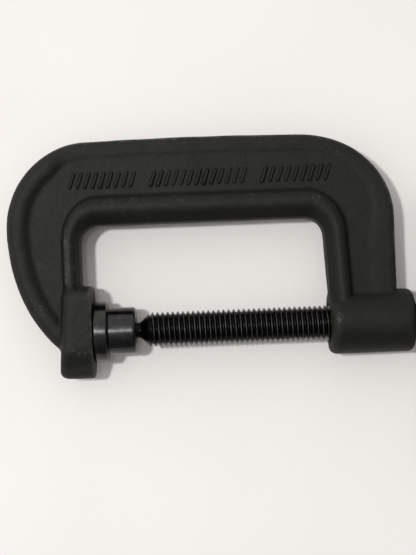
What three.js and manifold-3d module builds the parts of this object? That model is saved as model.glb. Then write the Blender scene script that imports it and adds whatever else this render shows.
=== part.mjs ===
// Drop-forged C clamp, 0 to 80 mm opening, lying flat and screwed shut. Millimetres, +Z up.
//
// Clamp coordinates: X runs along the screw, away from the anvil face at X = 0. Y runs from the screw
// towards the spine. Z = 0 is the forging's parting plane, which holds the screw's axis.
// The exported group moves these so that its origin is the centre of the bounding box's bottom face.

import * as THREE from 'three';
import { mergeVertices } from 'three/addons/utils/BufferGeometryUtils.js';
import Module from 'manifold-3d';

const wasm = await Module();
wasm.setup();

// ---- Driving dimensions -------------------------------------------------------------------------

const GAP = 0.3; // between pieces that touch

// 5/8"-11 thread, right hand
const THREAD = { radius: 7.94, pitch: 25.4 / 11, depth: 1.35, crest: 0.14, bevel: 1.2, sides: 16 };
const SPARE_TURNS = 2; // that each thread runs on past either end, before it is trimmed

// Outline of the C, seen along Z
const OUTLINE = {
  lowerLeft: { x: 10, y: 47, a: 47.8, b: 64.6 }, // quarter ellipses: centre and half axes
  upperLeft: { x: 0, y: 47, a: 37.8, b: 39 },
  upperRight: { x: 95, y: 48, a: 42.6, b: 38 },
  crown: 0.7, // rise of the spine's back between the two upper ellipses
};
const THROAT = { left: -4.6, right: 105.2, top: 47.8, corner: 8.5, lean: 0.055 };

// Half thicknesses of the forging, and the widths of its beads
const WEB = 6.5;
const ROLL = { height: 10.5, left: 8.2, spine: 13.2, right: 10.3, square: 2.2, crest: 0.6 };
const BEAD = { height: 8.5, wide: 9.8, narrow: 5.6, lowest: 6.9, square: 2.4, crest: 0.54 };

// Corners of a section: how far round its ridge each one lies, where 0 is the open edge and 0.5 the crest
const ROLL_TURNS = [0, 0.08, 0.18, 0.3, 0.42, 0.54, 0.66, 0.78];
const BEAD_TURNS = [0, 0.08, 0.18, 0.32, 0.46, 0.6, 0.74];

const BEAD_FADE = [0.3, 0.8]; // where the bead sinks to a low rim, as shares of the throat's left corner

const JAW_FOOT = -8; // the C's left leg ends inside the anvil
const LEG_FOOT = 5; // and its right leg inside the boss

const ANVIL = { back: -15, foot: -21, head: 20.8, corner: 3, lean: 0.07 };
const ANVIL_LAYERS = [ // height, and how far the back, foot, head and face stand in there
  { z: 0, back: 0, foot: 0, head: 0, face: 0 },
  { z: 4.6, back: 0.4, foot: 1.2, head: 0.4, face: 0 },
  { z: 10.6, back: 1, foot: 6.8, head: 1, face: 0 },
  { z: 12.4, back: 1.8, foot: 9.5, head: 1.7, face: 0.5 },
  { z: 13, back: 3.1, foot: 11, head: 2.9, face: 1.5 },
];

const BOSS = { start: 106, end: 145.3, radius: 14.3, round: 3.6, bevel: 1.3 };
const PAST = 2; // how far the cutting shapes stand out of what they cut

const PAD = {
  face: GAP,
  footRadius: 13.75,
  footEnd: 6.1,
  grooveEnd: 6.5,
  grooveRadius: 10,
  barrelRadius: 10.65,
  end: 19,
  bevel: 0.7,
  mouth: 5.9,
  ringSeat: { start: 15.4, end: 17.2, radius: 7 },
};

const BARE_FACE = PAD.footRadius + 0.75; // the anvil face is clear of the pad above this Y

const BALL = { x: 12, radius: 5.5 };
const RING = { start: 15.75, end: 16.85, inner: 4.75, outer: 6.65, split: 0.35 };
const NECK = { radius: 3.65, end: 21 };
const SHOULDER_END = 25.3; // end of the 45 degree cone, where the thread is at its full size
const THREAD_END = 147.5;
const HUB = { start: 149.5, end: 172.2, radius: 12.2, round: 3, waist: 9 };

const BAR = { radius: 4.75, half: 59.4, bevel: 0.6, sides: 28 };
const KNOB = { radius: 7.6, length: 12, round: 2.4, depth: 9 };
const BAR_X = (HUB.start + HUB.end) / 2;

// How finely round shapes are divided
const ROUND_SIDES = 36;
const STEPS = { jaw: 10, throatCorner: 12, spine: 9, leg: 7, round: 4, ball: 10, seat: 6, ring: 24 };
const QUARTER = Math.PI / 2;

// ---- Solids -------------------------------------------------------------------------------------

/** Drops normals and uvs, joins shared corners and leaves out triangles with no area. */
function welded(geometry) {
  const bare = geometry.clone();
  bare.deleteAttribute('normal');
  bare.deleteAttribute('uv');
  const joined = mergeVertices(bare, 1e-4);
  const kept = [];
  const index = joined.index.array;
  for (let i = 0; i < index.length; i += 3) {
    const [a, b, c] = [index[i], index[i + 1], index[i + 2]];
    if (a !== b && b !== c && c !== a) kept.push(a, b, c);
  }
  joined.setIndex(kept);
  return joined;
}

function toSolid(geometry) {
  const joined = welded(geometry);
  return new wasm.Manifold(new wasm.Mesh({
    numProp: 3,
    vertProperties: Float32Array.from(joined.attributes.position.array),
    triVerts: Uint32Array.from(joined.index.array),
  }));
}

function toGeometry(solid) {
  const mesh = solid.getMesh();
  const geometry = new THREE.BufferGeometry();
  geometry.setAttribute('position', new THREE.BufferAttribute(mesh.vertProperties, 3));
  geometry.setIndex(new THREE.BufferAttribute(mesh.triVerts, 1));
  return geometry;
}

/** A closed skin through rings of points, with a flat fan on the first and the last. */
function skin(rings) {
  const size = rings[0].length;
  const points = rings.flat();
  const index = [];
  for (let r = 0; r + 1 < rings.length; r++) {
    for (let i = 0; i < size; i++) {
      const j = (i + 1) % size;
      const [a, b, c, d] = [r * size + i, r * size + j, (r + 1) * size + i, (r + 1) * size + j];
      index.push(a, b, c, b, d, c);
    }
  }
  for (const [r, flip] of [[0, true], [rings.length - 1, false]]) {
    const hub = points.length;
    const middle = new THREE.Vector3();
    rings[r].forEach((p) => middle.addScaledVector(p, 1 / size));
    points.push(middle);
    for (let i = 0; i < size; i++) {
      const [a, b] = [r * size + i, r * size + ((i + 1) % size)];
      index.push(...(flip ? [hub, b, a] : [hub, a, b]));
    }
  }
  const geometry = new THREE.BufferGeometry().setFromPoints(points);
  geometry.setIndex(index);
  return geometry;
}

/** A piece turned about the screw's axis. The outline is [x, radius] pairs in order of rising x. */
function turned(outline, sides = ROUND_SIDES) {
  const profile = outline.map(([x, radius]) => new THREE.Vector2(radius, x));
  return new THREE.LatheGeometry(profile, sides).rotateZ(-QUARTER);
}

/** The rounded corner of a turned outline, from angle `from` to `to` about [x, radius]. */
function corner(x, radius, round, from, to, steps = STEPS.round) {
  return Array.from({ length: steps + 1 }, (_, i) => {
    const angle = from + ((to - from) * i) / steps;
    return [x + round * Math.cos(angle), radius + round * Math.sin(angle)];
  });
}

/** A cylinder along X with both ends rounded. */
function roundedBar(start, end, radius, round) {
  return [
    [start, 0],
    ...corner(start + round, radius - round, round, Math.PI, QUARTER),
    ...corner(end - round, radius - round, round, QUARTER, 0),
    [end, 0],
  ];
}

/**
 * A right-hand V thread as a closed solid: a helical ridge wound round the axis, with its two ends
 * closed to the axis. `grow` moves the whole flank outwards, for the hole that the thread turns in.
 */
function helix(start, turns, grow = 0) {
  const { radius, pitch, depth, crest, sides } = THREAD;
  const root = radius - depth + grow;
  const ridge = [[0, root], [0.5 - crest / 2, radius + grow], [0.5 + crest / 2, radius + grow]];
  const points = [];
  const rows = turns * ridge.length;
  const at = (row, side) => row * sides + side;
  for (let row = 0; row <= rows + ridge.length; row++) {
    const [along, r] = ridge[row % ridge.length];
    const turn = Math.floor(row / ridge.length) + along;
    for (let side = 0; side < sides; side++) {
      const share = side / sides;
      const angle = share * 2 * Math.PI;
      points.push(new THREE.Vector3(
        start + (turn + share) * pitch,
        r * Math.cos(angle),
        r * Math.sin(angle),
      ));
    }
  }
  const index = [];
  for (let row = 0; row < rows; row++) {
    for (let side = 0; side < sides; side++) {
      const last = side === sides - 1;
      const [a, b] = [at(row, side), at(row + 1, side)];
      // one full turn on, the ridge meets its own next turn
      const [c, d] = last
        ? [at(row + ridge.length, 0), at(row + 1 + ridge.length, 0)]
        : [at(row, side + 1), at(row + 1, side + 1)];
      index.push(a, c, b, b, c, d);
    }
  }
  const edges = [[], []]; // the open edge at each end, as a loop of corner numbers
  for (const [end, row] of [[0, 0], [1, rows]]) {
    for (let side = 0; side < sides; side++) edges[end].push(at(row, side));
    for (let k = ridge.length; k > 0; k--) edges[end].push(at(row + k, 0));
  }
  for (const [end, x] of [[0, start], [1, start + (turns + 1) * pitch]]) {
    const hub = points.push(new THREE.Vector3(x, 0, 0)) - 1;
    const loop = edges[end];
    loop.forEach((a, i) => {
      const b = loop[(i + 1) % loop.length];
      index.push(...(end ? [hub, a, b] : [hub, b, a]));
    });
  }
  const geometry = new THREE.BufferGeometry().setFromPoints(points);
  geometry.setIndex(index);
  return geometry;
}

// ---- Frame: one forging ---------------------------------------------------------------------------

function insideOutline(x, y) {
  const { lowerLeft, upperLeft, upperRight, crown } = OUTLINE;
  const outside = (e) => Math.hypot((x - e.x) / e.a, (y - e.y) / e.b) > 1;
  if (y < lowerLeft.y && x < lowerLeft.x) return !outside(lowerLeft);
  if (y >= upperLeft.y && x < upperLeft.x) return !outside(upperLeft);
  if (y >= upperRight.y && x > upperRight.x) return !outside(upperRight);
  const along = THREE.MathUtils.clamp((x - upperLeft.x) / (upperRight.x - upperLeft.x), 0, 1);
  return x < upperRight.x + upperRight.a
    && y < upperRight.y + upperRight.b + crown * Math.sin(Math.PI * along);
}

/** The distance from a point inside the outline to the outline, in a direction. */
function reach(x, y, angle) {
  const halvings = 30;
  let [near, far] = [0, OUTLINE.lowerLeft.b + OUTLINE.upperLeft.b];
  for (let i = 0; i < halvings; i++) {
    const middle = (near + far) / 2;
    const inside = insideOutline(x + middle * Math.cos(angle), y + middle * Math.sin(angle));
    [near, far] = inside ? [middle, far] : [near, middle];
  }
  return near;
}

/**
 * The stations of the C from the anvil round to the boss. Each has its point on the throat's edge,
 * the direction across the C, and the widths of the inner roll and the outer bead there.
 */
function stations() {
  const { left, right, top, corner: round, lean } = THROAT;
  const { lerp, smoothstep } = THREE.MathUtils;
  const list = [];
  const add = (x, y, angle, roll, bead, height) => list.push({ x, y, angle, roll, bead, height });
  for (let i = 0; i < STEPS.jaw; i++) {
    const y = lerp(JAW_FOOT, top - round, i / STEPS.jaw);
    add(left, y, Math.PI, ROLL.left, BEAD.wide, BEAD.height);
  }
  for (let i = 0; i <= STEPS.throatCorner; i++) {
    const share = i / STEPS.throatCorner;
    const angle = Math.PI - QUARTER * share;
    const fade = smoothstep(share, ...BEAD_FADE);
    add(
      left + round + round * Math.cos(angle),
      top - round + round * Math.sin(angle),
      angle,
      lerp(ROLL.left, ROLL.spine, smoothstep(share, 0, 1)),
      lerp(BEAD.wide, BEAD.narrow, fade),
      lerp(BEAD.height, BEAD.lowest, fade),
    );
  }
  for (let i = 1; i < STEPS.spine; i++) {
    const x = lerp(left + round, right - round, i / STEPS.spine);
    add(x, top, QUARTER, ROLL.spine, BEAD.narrow, BEAD.lowest);
  }
  for (let i = 0; i <= STEPS.throatCorner; i++) {
    const share = i / STEPS.throatCorner;
    const angle = QUARTER * (1 - share);
    add(
      right - round + round * Math.cos(angle),
      top - round + round * Math.sin(angle),
      angle,
      lerp(ROLL.spine, ROLL.right, smoothstep(share, 0, 1)),
      BEAD.narrow,
      BEAD.lowest,
    );
  }
  for (let i = 1; i <= STEPS.leg; i++) {
    const y = lerp(top - round, LEG_FOOT, i / STEPS.leg);
    add(right + lean * (top - round - y), y, 0, ROLL.right, BEAD.narrow, BEAD.lowest);
  }
  return list;
}

/** A rounded ridge's corners as [depth from its edge, height] pairs, one for each turn from 0 to 1. */
function ridge(turns, width, height, { square, crest }) {
  const squared = (value) => Math.sign(value) * Math.abs(value) ** (2 / square);
  const top = crest * width;
  return turns.map((turn) => {
    const along = squared(-Math.cos(Math.PI * turn));
    return [top + along * (along < 0 ? top : width - top), height * squared(Math.sin(Math.PI * turn))];
  });
}

/** Half the forging's section at a station: [distance from the throat's edge, height] pairs. */
function halfSection({ x, y, angle, roll, bead, height }) {
  const width = reach(x, y, angle);
  const onWeb = (pairs, crest) => pairs.map(([d, z]) => [d, d > crest ? Math.max(z, WEB) : z]);
  const inner = onWeb(ridge(ROLL_TURNS, roll, ROLL.height, ROLL), ROLL.crest * roll);
  const outer = onWeb(ridge(BEAD_TURNS, bead, height, BEAD), BEAD.crest * bead);
  return [
    ...inner,
    [roll, WEB],
    [width - bead, WEB],
    ...outer.reverse().map(([d, z]) => [width - d, z]),
  ];
}

function bentBody() {
  const rings = stations().reverse().map((station) => {
    const half = halfSection(station);
    const place = ([d, z]) => new THREE.Vector3(
      station.x + d * Math.cos(station.angle),
      station.y + d * Math.sin(station.angle),
      z,
    );
    const under = half.slice(1, -1).reverse().map(([d, z]) => [d, -z]);
    return [...half, ...under].map(place);
  });
  return skin(rings);
}

/** The anvil block: rounded corners, drafted sides, a flat face at X = 0 and a sloping lower end. */
function anvilBlock() {
  const { back, foot, head, corner: round, lean } = ANVIL;
  const ring = (layer, side) => {
    const [y0, y1] = [foot + layer.foot, head - layer.head];
    const face = -layer.face;
    const behind = (y) => back + layer.back + lean * y;
    const centres = [
      [face - round, y0 + round, -1], [face - round, y1 - round, 0],
      [behind(y1) + round, y1 - round, 1], [behind(y0) + round, y0 + round, 2],
    ];
    const points = centres.flatMap(([cx, cy, quarter]) => [0, 1, 2, 3].map((i) => {
      const angle = QUARTER * (quarter + i / 3);
      const [x, y] = [cx + round * Math.cos(angle), cy + round * Math.sin(angle)];
      return new THREE.Vector3(x, y, side * layer.z);
    }));
    // one more corner on the face, so that the strip which the pad leaves bare is a panel of its own
    points.splice(4, 0, new THREE.Vector3(face, BARE_FACE, side * layer.z));
    return points;
  };
  const lower = ANVIL_LAYERS.slice(1).reverse().map((layer) => ring(layer, -1));
  const upper = ANVIL_LAYERS.map((layer) => ring(layer, 1));
  return skin([...lower, ...upper]);
}

/** What the tap and the countersinks take out of the boss. */
function tappedHole() {
  const { radius, pitch } = THREAD;
  const firstTurn = Math.round((BOSS.start - SHOULDER_END) / pitch) - SPARE_TURNS;
  const turns = Math.ceil((BOSS.end - BOSS.start) / pitch) + 2 * SPARE_TURNS;
  const thread = toSolid(helix(SHOULDER_END + firstTurn * pitch, turns, GAP));
  const wide = radius + GAP + BOSS.bevel;
  const [from, to] = [BOSS.start, BOSS.end];
  const bevel = (x, outward) => {
    const ends = [[x - outward * wide, 0], [x, wide], [x + outward * PAST, wide + PAST]];
    const outline = [...ends, [x + outward * PAST, 0]];
    return toSolid(turned(outward > 0 ? outline : outline.reverse(), THREAD.sides));
  };
  return thread.add(bevel(from, -1)).add(bevel(to, 1));
}

function makeFrame() {
  const boss = turned(roundedBar(BOSS.start, BOSS.end, BOSS.radius, BOSS.round));
  const solid = toSolid(bentBody())
    .add(toSolid(anvilBlock()))
    .add(toSolid(boss))
    .subtract(tappedHole());
  return toGeometry(solid);
}

// ---- Screw ----------------------------------------------------------------------------------------

function makeScrew() {
  const { radius, pitch, depth } = THREAD;
  const turns = Math.ceil((THREAD_END - SHOULDER_END) / pitch) + 2 * SPARE_TURNS;
  const blank = toSolid(turned([
    [NECK.end - GAP, 0],
    [NECK.end - GAP, NECK.radius],
    [NECK.end, NECK.radius],
    [NECK.end + radius - NECK.radius, radius],
    [THREAD_END - THREAD.bevel, radius],
    [THREAD_END, radius - depth],
    [THREAD_END, 0],
  ], 2 * THREAD.sides));
  const thread = toSolid(helix(SHOULDER_END - SPARE_TURNS * pitch, turns)).intersect(blank);
  const ballEnd = Math.PI - Math.asin(NECK.radius / BALL.radius);
  const ball = Array.from({ length: STEPS.ball + 1 }, (_, i) => {
    const angle = (ballEnd * i) / STEPS.ball;
    return [BALL.x - BALL.radius * Math.cos(angle), BALL.radius * Math.sin(angle)];
  });
  const core = radius - depth;
  const tip = turned([...ball, [NECK.end + GAP, NECK.radius], [NECK.end + GAP, 0]], THREAD.sides);
  const hub = turned([
    [THREAD_END - pitch, 0],
    [THREAD_END - pitch, core - GAP],
    [HUB.start, core - GAP],
    [HUB.start, HUB.waist],
    ...corner(HUB.start + HUB.round, HUB.radius - HUB.round, HUB.round, Math.PI, QUARTER),
    ...corner(HUB.end - HUB.round, HUB.radius - HUB.round, HUB.round, QUARTER, 0),
    [HUB.end, 0],
  ]);
  const [hole, through] = [BAR.radius + GAP, 2 * (HUB.radius + HUB.round)];
  const crossHole = new THREE.CylinderGeometry(hole, hole, through, BAR.sides)
    .translate(BAR_X, 0, 0);
  const solid = thread.add(toSolid(tip)).add(toSolid(hub)).subtract(toSolid(crossHole));
  return toGeometry(solid);
}

// ---- Swivel pad and its ring ------------------------------------------------------------------------

function makePad() {
  const p = PAD;
  const seat = Array.from({ length: STEPS.seat + 1 }, (_, i) => {
    const angle = (QUARTER * i) / STEPS.seat;
    return [BALL.x - p.mouth * Math.sin(angle), p.mouth * Math.cos(angle)];
  });
  return welded(turned([
    [p.face, 0],
    [p.face, p.footRadius - p.bevel / 2],
    [p.face + p.bevel / 2, p.footRadius],
    [p.footEnd - p.bevel / 2, p.footRadius],
    [p.footEnd, p.footRadius - p.bevel / 2],
    [p.footEnd, p.grooveRadius],
    [p.grooveEnd, p.grooveRadius],
    [p.grooveEnd, p.barrelRadius],
    [p.end - p.bevel, p.barrelRadius],
    [p.end, p.barrelRadius - p.bevel],
    [p.end, p.mouth],
    [p.ringSeat.end, p.mouth],
    [p.ringSeat.end, p.ringSeat.radius],
    [p.ringSeat.start, p.ringSeat.radius],
    [p.ringSeat.start, p.mouth],
    ...seat,
  ]));
}

function makeRing() {
  const shape = new THREE.Shape();
  shape.absarc(0, 0, RING.outer, RING.split, 2 * Math.PI - RING.split, false);
  shape.absarc(0, 0, RING.inner, 2 * Math.PI - RING.split, RING.split, true);
  const options = { depth: RING.end - RING.start, bevelEnabled: false, curveSegments: STEPS.ring };
  const ring = new THREE.ExtrudeGeometry(shape, options);
  return welded(ring.rotateY(QUARTER).translate(RING.start, 0, 0));
}

// ---- Handle -------------------------------------------------------------------------------------------

function makeBar() {
  const end = BAR.half - (KNOB.length - KNOB.depth) - GAP;
  return welded(turned([
    [-end, 0],
    [-end, BAR.radius - BAR.bevel],
    [-end + BAR.bevel, BAR.radius],
    [end - BAR.bevel, BAR.radius],
    [end, BAR.radius - BAR.bevel],
    [end, 0],
  ], BAR.sides));
}

/** A cupped stop whose blind hole takes the bar's end. It points along +X from its open face at 0. */
function makeKnob() {
  const hole = BAR.radius + GAP;
  return welded(turned([
    [KNOB.depth, 0],
    [KNOB.depth, hole],
    [0, hole],
    [0, KNOB.radius - KNOB.round],
    ...corner(KNOB.round, KNOB.radius - KNOB.round, KNOB.round, Math.PI, QUARTER).slice(1),
    ...corner(KNOB.length - KNOB.round, KNOB.radius - KNOB.round, KNOB.round, QUARTER, 0),
    [KNOB.length, 0],
  ], BAR.sides));
}

// ---- Assembly -----------------------------------------------------------------------------------------

const finishes = {
  forging: { color: 0x37383a, roughness: 0.6, metalness: 0.5 },
  blackOxide: { color: 0x1b1c1f, roughness: 0.3, metalness: 0.9 },
  springSteel: { color: 0x55575a, roughness: 0.4, metalness: 0.9 },
};

function part(name, geometry, finish) {
  geometry.computeVertexNormals();
  const mesh = new THREE.Mesh(geometry, new THREE.MeshStandardMaterial(finishes[finish]));
  mesh.name = name;
  return mesh;
}

const handle = new THREE.Group();
handle.add(part('handle_bar', makeBar(), 'blackOxide'));
for (const [name, turn] of [['handle_knob_a', 0], ['handle_knob_b', Math.PI]]) {
  const knob = new THREE.Group();
  knob.add(part(name, makeKnob().translate(BAR.half - KNOB.length, 0, 0), 'blackOxide'));
  knob.rotation.y = turn;
  handle.add(knob);
}
handle.rotation.z = QUARTER;
handle.position.x = BAR_X;

const group = new THREE.Group();
group.name = 'c_clamp';
group.add(part('frame', makeFrame(), 'forging'));
group.add(part('screw', makeScrew(), 'blackOxide'));
group.add(part('swivel_pad', makePad(), 'blackOxide'));
group.add(part('pad_retaining_ring', makeRing(), 'springSteel'));
group.add(handle);

const leftEnd = OUTLINE.upperLeft.x - OUTLINE.upperLeft.a;
const spineTop = OUTLINE.upperRight.y + OUTLINE.upperRight.b + OUTLINE.crown;
group.position.set(-(leftEnd + HUB.end) / 2, -(spineTop - BAR.half) / 2, BOSS.radius);

export default group;
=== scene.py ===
"""Looks for a drop-forged C clamp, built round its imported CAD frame.

Shapes are worked out in clamp coordinates, in millimetres: X runs along the screw away from the
anvil face, Y from the screw's axis towards the spine, and Z = 0 is the forging's parting plane. The
forging and the screw's hub are drawn as distance fields and skinned. Turned pieces are spun from
outlines, and the thread is a helix of its section. The retaining ring keeps its CAD mesh.
"""

import math

import bmesh
import bpy
import numpy as np
from mathutils import Matrix, Vector


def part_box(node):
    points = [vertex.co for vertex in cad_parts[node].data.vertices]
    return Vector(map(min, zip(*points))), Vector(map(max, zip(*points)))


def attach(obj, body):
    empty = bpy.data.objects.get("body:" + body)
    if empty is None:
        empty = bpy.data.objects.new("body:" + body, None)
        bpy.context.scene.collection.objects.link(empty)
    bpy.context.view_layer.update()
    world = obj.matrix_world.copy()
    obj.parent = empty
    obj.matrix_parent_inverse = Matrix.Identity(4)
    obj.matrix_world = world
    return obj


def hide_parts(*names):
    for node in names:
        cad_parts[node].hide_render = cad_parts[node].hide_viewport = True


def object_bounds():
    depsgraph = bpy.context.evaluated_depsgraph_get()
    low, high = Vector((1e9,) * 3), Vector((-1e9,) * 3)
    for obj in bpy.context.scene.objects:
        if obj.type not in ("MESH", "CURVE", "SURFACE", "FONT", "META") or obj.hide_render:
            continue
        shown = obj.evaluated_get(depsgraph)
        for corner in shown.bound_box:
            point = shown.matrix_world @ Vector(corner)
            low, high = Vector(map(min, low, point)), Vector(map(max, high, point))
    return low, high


MM = 0.001
SAME_POINT = 1e-6  # metres

# ---- Driving dimensions, in millimetres ----------------------------------------------------------

GAP = 0.3  # between pieces that touch

# the outline's quarter ellipses: centre and half axes
LOWER_LEFT = (10.0, 47.0, 47.8, 64.6)
UPPER_LEFT = (0.0, 47.0, 37.8, 39.0)
UPPER_RIGHT = (95.0, 48.0, 42.6, 38.0)
CROWN = 0.7  # rise of the spine's back between the two upper ellipses
THROAT_LEFT, THROAT_RIGHT, THROAT_TOP = -4.6, 105.2, 47.8
THROAT_ROUND, THROAT_LEAN = 8.5, 0.055

# half thicknesses, crests as shares of the width, and the powers of their rounded sections
WEB = 6.5
ROLL_HEIGHT, ROLL_CREST, ROLL_SQUARE, ROLL_FLANK = 10.5, 0.6, 2.2, 1.9
ROLL_LEFT, ROLL_SPINE, ROLL_RIGHT = 8.2, 13.2, 10.3  # its widths
BEAD_HEIGHT, BEAD_WIDTH, BEAD_SQUARE, BEAD_CREST = 8.5, 9.8, 2.4, 0.54
RIM_HEIGHT, RIM_LOWEST, RIM_WIDTH, RIM_SQUARE = 6.78, 6.52, 6.6, 4.0
RIM_FADE = (80, 40)  # Y between which the rim dies out, down the right leg

ANVIL_BACK, ANVIL_FOOT, ANVIL_HEAD, ANVIL_HALF = -15.0, -21.0, 20.8, 13.0
ANVIL_LEAN = 0.07  # the back's run over rise
ANVIL_SLOPE = 0.927  # run over rise of the lower end
BOSS_START, BOSS_END, BOSS_RADIUS, BOSS_ROUND = 106.0, 145.3, 14.3, 3.6
LEG_FOOT = 3.0  # the right leg ends inside the boss
HOLE_RADIUS, HOLE_BEVEL = 8.35, 1.3

THREAD_RADIUS, THREAD_DEPTH, PITCH = 7.94, 1.35, 25.4 / 11
NECK_RADIUS, NECK_END, SHOULDER_END, THREAD_END = 3.65, 21.0, 25.3, 147.5
RUN_OUT_SLOPE = 1.2  # of the thread's end
HELIX_LEAD, HELIX_SPARE = 5, 2  # turns before the shoulder's end and past the thread, trimmed off
BALL_X, BALL_RADIUS = 12.0, 5.5
HUB_START, HUB_END, HUB_RADIUS = 149.5, 172.2, 12.2
BAR_RADIUS, BAR_HALF = 4.75, 59.4
KNOB_RADIUS, KNOB_LENGTH, KNOB_ROUND, KNOB_DEPTH = 7.6, 12.0, 2.4, 9.0
BAR_X = (HUB_START + HUB_END) / 2

PAD_FACE, PAD_FOOT_RADIUS, PAD_FOOT_END, PAD_GROOVE_END = 0.3, 13.75, 6.1, 6.5
PAD_GROOVE_RADIUS, PAD_BARREL_RADIUS, PAD_END, PAD_MOUTH = 10.0, 10.65, 19.0, 5.9
PAD_LIP_LONG, PAD_LIP_DEEP = 1.1, 0.7
RING_SEAT = (15.4, 17.2, 7.0)  # start, end and radius

# how the forging's shapes melt into each other
WEB_ROUND, ROLL_FILLET, BEAD_FILLET, ANVIL_FILLET, BOSS_FILLET = 3.5, 1.2, 1.4, 1.6, 1.2
BEAD_FADE, BEAD_FADE_LEAN = (-9, 3), 0.35
ANVIL_ROUND, ANVIL_FACE_EDGE, ANVIL_DRAFT, ANVIL_FOOT_HALF = 4.5, 1.6, 0.09, 2.5
BOSS_DRAFT, EDGE_BLEND = 0.07, 0.5
FLASH_HIGH, FLASH_HALF, FLASH_DEEP, FLASH_BLEND = 0.25, 1.3, 1.0, 0.15
MIDDLE_X = 50  # splits the left half of the C from the right

# the hammered skin, a sum of waves: depth, count, and the coarsest one's radians a millimetre
HAMMER_DEPTH, HAMMER_WAVES, HAMMER_COARSEST = 0.045, 7, 0.25
# what each wave adds to the one before: a share of the coarsest, and radians of turn, tilt and shift
HAMMER_FINER, HAMMER_TURN, HAMMER_TILT, HAMMER_SHIFT = 0.55, 2.4, 1.7, 1.9

# distance fields and their skins
FAR, TINY = 1e3, 1e-6
FIELD_MARGIN, FORGING_PITCH, HUB_PITCH, WEAR_REACH = 2.0, 0.8, 0.45, 1.2
SETTLE_STEP, SETTLE_ROUNDS, SETTLE_FARTHEST, LEAST_SLOPE = 0.15, 3, 0.5, 0.05

# where the paint has rubbed on the front, partly rubbed paint and partly painted glints, the
# strongest patches being glints: X, Y, size and strength of each patch
RUBBED_AND_GLINTS = (
    (113.2, 76.3, 2.2, 1.0), (121.1, 71.0, 2.5, 1.0), (102.0, 57.0, 3.0, 0.8),
    (9.8, 57.7, 4.0, 0.6), (21.0, 58.7, 4.5, 0.6), (41.0, 58.8, 3.5, 0.5),
    (-5.5, 55.0, 3.0, 0.4), (-24.0, 30.5, 3.5, 0.7), (-28.7, 36.0, 3.5, 0.7),
    (-22.5, 12.0, 3.5, 0.7), (-9.0, -8.5, 3.0, 0.9), (-4.0, -8.7, 3.0, 0.9),
    (72.0, 59.0, 4.0, 0.6), (110.8, 3.3, 2.5, 1.0),
)

# the raised bars on the web: groups along X, and a section of (distance out, height over the web)
MARK_GROUPS = ((-7.3, 20.0), (29.0, 70.0), (79.2, 107.8))
MARK_Y, MARK_TALL, MARK_WIDE, MARK_PITCH, MARK_HIGH = 68.1, 6.8, 1.3, 3.4, 0.9
MARK_SLANT, MARK_STEPS = math.radians(20), 24
MARK_SECTION = (
    (0.15, 0.9), (0.35, 0.88), (0.5, 0.72), (0.6, 0.4), (0.7, 0.16), (0.95, 0.03), (1.3, -0.1),
)
# bulge stored on a bar's top, side and foot, and the shares of its height that part them; the paint
# makes the tops a little lighter, partly painted highlight, and puts painted shade at the feet
MARK_TOP, MARK_SIDE, MARK_FOOT_SHADE = 0.25, -0.1, -0.6
MARK_TOP_FROM, MARK_FOOT_TO = 0.8, 0.2

# one turn of the thread: (share of the pitch, share of the depth)
THREAD_SECTION = (
    (0.0, 0.0), (0.09, 0.0), (0.14, 0.09), (0.43, 0.93), (0.46, 1.0),
    (0.54, 1.0), (0.57, 0.93), (0.86, 0.09), (0.91, 0.0),
)
THREAD_SIDES, BALL_STEPS, ROUND_SIDES = 64, 16, 128
HUB_ROUND, HUB_HOLE_EASE, PAD_EASE, BAR_EASE = 3.0, 1.4, 0.55, 0.6
CORNER_STEPS, EASED_STEPS = 6, 4
EASED_BELOW = math.radians(150)  # outline corners wider than this stay as they are
EASED_SHARE = 0.45  # the most of a side that one rounded corner takes
BY_LARGEST_FACE = 100  # how far a corner's shading goes by its largest face, where 50 is evenly

# floor, light and camera, in clamp coordinates
FLOOR_NEAR, FLOOR_FAR = 0.35, 6.0  # metres from its middle
FLOOR_LINES, FLOOR_FAR_LINES = 160, 12  # grid lines across the near part, and beyond it each way
FLOOR_FIRST_FAR = 1.15  # where the far lines start, in half widths of the near part
LIGHT_TARGET = (50, 30, 0)
LAMPS = (  # name, place, size, power and colour
    ("key", (-370, 150, 1250), 100, 9.0, (1.0, 0.988, 0.975)),
    ("top", (-90, 70, 1250), 100, 1.0, (1.0, 0.99, 0.98)),
)
ROOM_COLOUR, ROOM_DARK, ROOM_BRIGHT = (1.0, 0.98, 0.96), 0.14, 1.06
ROOM_WAY, ROOM_REACH = (-0.6, 0.8, 0.0), 0.75  # towards the bright side of the room
CAMERA_PLACE, CAMERA_TARGET = (44.16, 23.26, 550), (52.34, 22.71, 0)
CAMERA_ROLL = math.radians(2.23)
LENS, SENSOR = 78.4, 36


# ---- The frame, and where clamp coordinates lie in it --------------------------------------------

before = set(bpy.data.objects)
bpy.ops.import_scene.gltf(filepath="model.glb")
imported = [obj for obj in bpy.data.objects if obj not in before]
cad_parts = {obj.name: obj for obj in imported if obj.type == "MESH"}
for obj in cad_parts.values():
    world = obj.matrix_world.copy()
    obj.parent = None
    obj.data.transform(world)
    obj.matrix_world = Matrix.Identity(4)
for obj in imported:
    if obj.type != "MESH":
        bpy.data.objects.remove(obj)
cad_low, cad_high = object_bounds()


def clamp_origin():
    """Where the anvil face meets the screw's axis, in the row frame, in metres."""
    low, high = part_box("swivel_pad")
    return Vector((low.x - PAD_FACE * MM, (low.y + high.y) / 2, (low.z + high.z) / 2))


ORIGIN = clamp_origin()


def to_row(points):
    """Clamp coordinates in millimetres to the row frame in metres."""
    return np.asarray(points, float) * MM + np.array(ORIGIN)


# ---- Meshes --------------------------------------------------------------------------------------


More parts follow.
